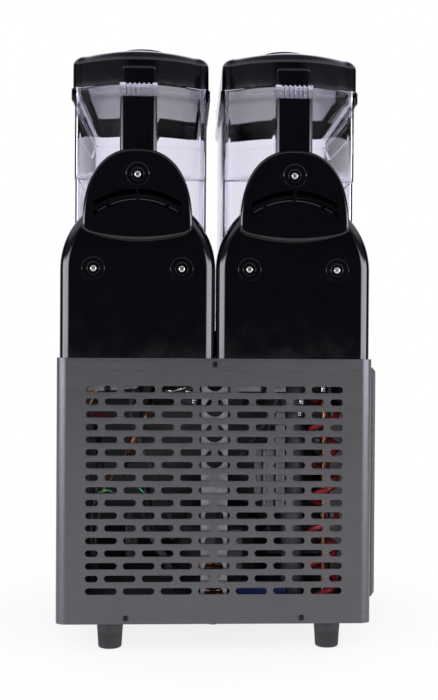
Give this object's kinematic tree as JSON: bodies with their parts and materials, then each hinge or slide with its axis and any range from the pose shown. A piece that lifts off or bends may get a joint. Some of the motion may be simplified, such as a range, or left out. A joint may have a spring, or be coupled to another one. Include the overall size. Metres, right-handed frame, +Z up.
{
  "type": "slush machine",
  "caption": "Countertop frozen-drink machine: slotted metal housing, clear bowls with black domed lids, augers, pull taps, drip tray and gloss-black rear motor covers.",
  "frame": {"origin": "on the floor under the machine, midway along its depth and on the centre plane of the housing", "axes": "+Z up, -Y towards the taps at the front, +Y towards the motor covers at the back, +X to the right seen from the front"},
  "size_m": [0.4152, 0.536, 0.8035],
  "materials": {
    "housing": "dark warm-grey brushed sheet metal",
    "zinc_sheet": "galvanised sheet",
    "gloss_black": "high-gloss black moulding",
    "satin_black": "satin black",
    "clear_plastic": "clear polycarbonate, polished",
    "stainless": "satin stainless steel",
    "white_plastic": "food-grade white moulding",
    "seal_rubber": "silicone rubber",
    "foot_rubber": "black rubber",
    "cast_grey": "die-cast gear case",
    "copper": "drawn copper tube",
    "fin_aluminium": "fin stock",
    "grey_plastic": "grey moulding"
  },
  "bodies": {
    "machine": {"base_pan": "zinc_sheet", "rear_panel": "housing", "front_panel": "housing", "side_panel_left": "housing", "side_panel_right": "housing", "top_deck": "housing", "centre_post": "zinc_sheet", "bulkhead": "zinc_sheet", "motor_cover_left": "gloss_black", "motor_cover_right": "gloss_black", "vent_hood_left": "gloss_black", "vent_hood_right": "gloss_black", "bowl_column_left": "gloss_black", "bowl_column_right": "gloss_black", "evaporator_left": "stainless", "evaporator_right": "stainless", "gearmotor_left": "cast_grey", "gearmotor_right": "cast_grey", "bowl_seal_left": "seal_rubber", "bowl_seal_right": "seal_rubber", "compressor": "satin_black", "condenser": "fin_aluminium", "fan_shroud": "zinc_sheet", "fan_bracket": "zinc_sheet", "fan_motor": "satin_black", "filter_drier": "copper", "refrigerant_line_left": "copper", "refrigerant_line_right": "copper", "discharge_line": "copper", "electrical_box": "grey_plastic", "cable_gland": "grey_plastic", "control_panel": "satin_black", "tray_bracket": "zinc_sheet"},
    "foot_rear_left": {"foot_rear_left": "foot_rubber"},
    "foot_rear_right": {"foot_rear_right": "foot_rubber"},
    "foot_front_left": {"foot_front_left": "foot_rubber"},
    "foot_front_right": {"foot_front_right": "foot_rubber"},
    "auger_left": {"auger_left": "white_plastic", "drive_shaft_left": "stainless"},
    "bowl_left": {"bowl_left": "clear_plastic", "tap_body_left": "clear_plastic", "tap_pin_left": "stainless"},
    "lid_left": {"lid_left": "gloss_black"},
    "tap_piston_left": {"tap_piston_left": "white_plastic"},
    "tap_handle_left": {"tap_handle_left": "gloss_black"},
    "mode_switch_left": {"mode_switch_left": "gloss_black"},
    "auger_right": {"auger_right": "white_plastic", "drive_shaft_right": "stainless"},
    "bowl_right": {"bowl_right": "clear_plastic", "tap_body_right": "clear_plastic", "tap_pin_right": "stainless"},
    "lid_right": {"lid_right": "gloss_black"},
    "tap_piston_right": {"tap_piston_right": "white_plastic"},
    "tap_handle_right": {"tap_handle_right": "gloss_black"},
    "mode_switch_right": {"mode_switch_right": "gloss_black"},
    "fan": {"fan_blades": "satin_black"},
    "filter_panel": {"filter_panel": "satin_black"},
    "drip_tray": {"drip_tray": "satin_black"},
    "drip_grate": {"drip_grate": "stainless"},
    "power_switch": {"power_switch": "gloss_black"}
  },
  "joints": [
    {"name": "foot_rear_left_turn", "type": "hinge", "parent": "machine", "child": "foot_rear_left", "pos_m": [-0.148, 0.2365, 0], "axis": [0, 0, 1], "continuous": true},
    {"name": "foot_rear_right_turn", "type": "hinge", "parent": "machine", "child": "foot_rear_right", "pos_m": [0.1337, 0.2365, 0], "axis": [0, 0, 1], "continuous": true},
    {"name": "foot_front_left_turn", "type": "hinge", "parent": "machine", "child": "foot_front_left", "pos_m": [-0.148, -0.094, 0], "axis": [0, 0, 1], "continuous": true},
    {"name": "foot_front_right_turn", "type": "hinge", "parent": "machine", "child": "foot_front_right", "pos_m": [0.1337, -0.094, 0], "axis": [0, 0, 1], "continuous": true},
    {"name": "auger_left_spin", "type": "hinge", "parent": "machine", "child": "auger_left", "pos_m": [-0.1, 0, 0.488], "axis": [0, 1, 0], "continuous": true},
    {"name": "bowl_left_slide", "type": "slide", "parent": "machine", "child": "bowl_left", "axis": [0, -1, 0], "range_m": [0, 0.33]},
    {"name": "lid_left_lift", "type": "slide", "parent": "bowl_left", "child": "lid_left", "axis": [0, 0, 1], "range_m": [0, 0.12]},
    {"name": "tap_handle_left_pull", "type": "hinge", "parent": "bowl_left", "child": "tap_handle_left", "pos_m": [-0.1, -0.217, 0.4768], "axis": [1, 0, 0], "range_deg": [0, 60], "stiffness_Nm_per_rad": 0.15, "springref_deg": -11.46},
    {"name": "tap_piston_left_lift", "type": "slide", "parent": "bowl_left", "child": "tap_piston_left", "axis": [0, 0, 1], "range_m": [0, 0.016]},
    {"name": "mode_switch_left_rock", "type": "hinge", "parent": "machine", "child": "mode_switch_left", "pos_m": [-0.07, -0.148, 0.315], "axis": [1, 0, 0], "range_deg": [-8, 8]},
    {"name": "auger_right_spin", "type": "hinge", "parent": "machine", "child": "auger_right", "pos_m": [0.1, 0, 0.488], "axis": [0, 1, 0], "continuous": true},
    {"name": "bowl_right_slide", "type": "slide", "parent": "machine", "child": "bowl_right", "axis": [0, -1, 0], "range_m": [0, 0.33]},
    {"name": "lid_right_lift", "type": "slide", "parent": "bowl_right", "child": "lid_right", "axis": [0, 0, 1], "range_m": [0, 0.12]},
    {"name": "tap_handle_right_pull", "type": "hinge", "parent": "bowl_right", "child": "tap_handle_right", "pos_m": [0.1, -0.217, 0.4768], "axis": [1, 0, 0], "range_deg": [0, 60], "stiffness_Nm_per_rad": 0.15, "springref_deg": -11.46},
    {"name": "tap_piston_right_lift", "type": "slide", "parent": "bowl_right", "child": "tap_piston_right", "axis": [0, 0, 1], "range_m": [0, 0.016]},
    {"name": "mode_switch_right_rock", "type": "hinge", "parent": "machine", "child": "mode_switch_right", "pos_m": [0.07, -0.148, 0.315], "axis": [1, 0, 0], "range_deg": [-8, 8]},
    {"name": "fan_spin", "type": "hinge", "parent": "machine", "child": "fan", "pos_m": [-0.1415, 0.04, 0.19], "axis": [1, 0, 0], "continuous": true},
    {"name": "filter_panel_pull", "type": "slide", "parent": "machine", "child": "filter_panel", "axis": [-1, 0, 0], "range_m": [0, 0.06]},
    {"name": "drip_tray_slide", "type": "slide", "parent": "machine", "child": "drip_tray", "axis": [0, -1, 0], "range_m": [0, 0.125]},
    {"name": "drip_grate_lift", "type": "slide", "parent": "drip_tray", "child": "drip_grate", "axis": [0, 0, 1], "range_m": [0, 0.06]},
    {"name": "power_switch_rock", "type": "hinge", "parent": "machine", "child": "power_switch", "pos_m": [0, -0.148, 0.315], "axis": [1, 0, 0], "range_deg": [-8, 8]}
  ],
  "couplings": [
    {"joint": "tap_piston_left_lift", "follows": "tap_handle_left_pull", "m_per_rad": 0.0149},
    {"joint": "tap_piston_right_lift", "follows": "tap_handle_right_pull", "m_per_rad": 0.0149}
  ]
}
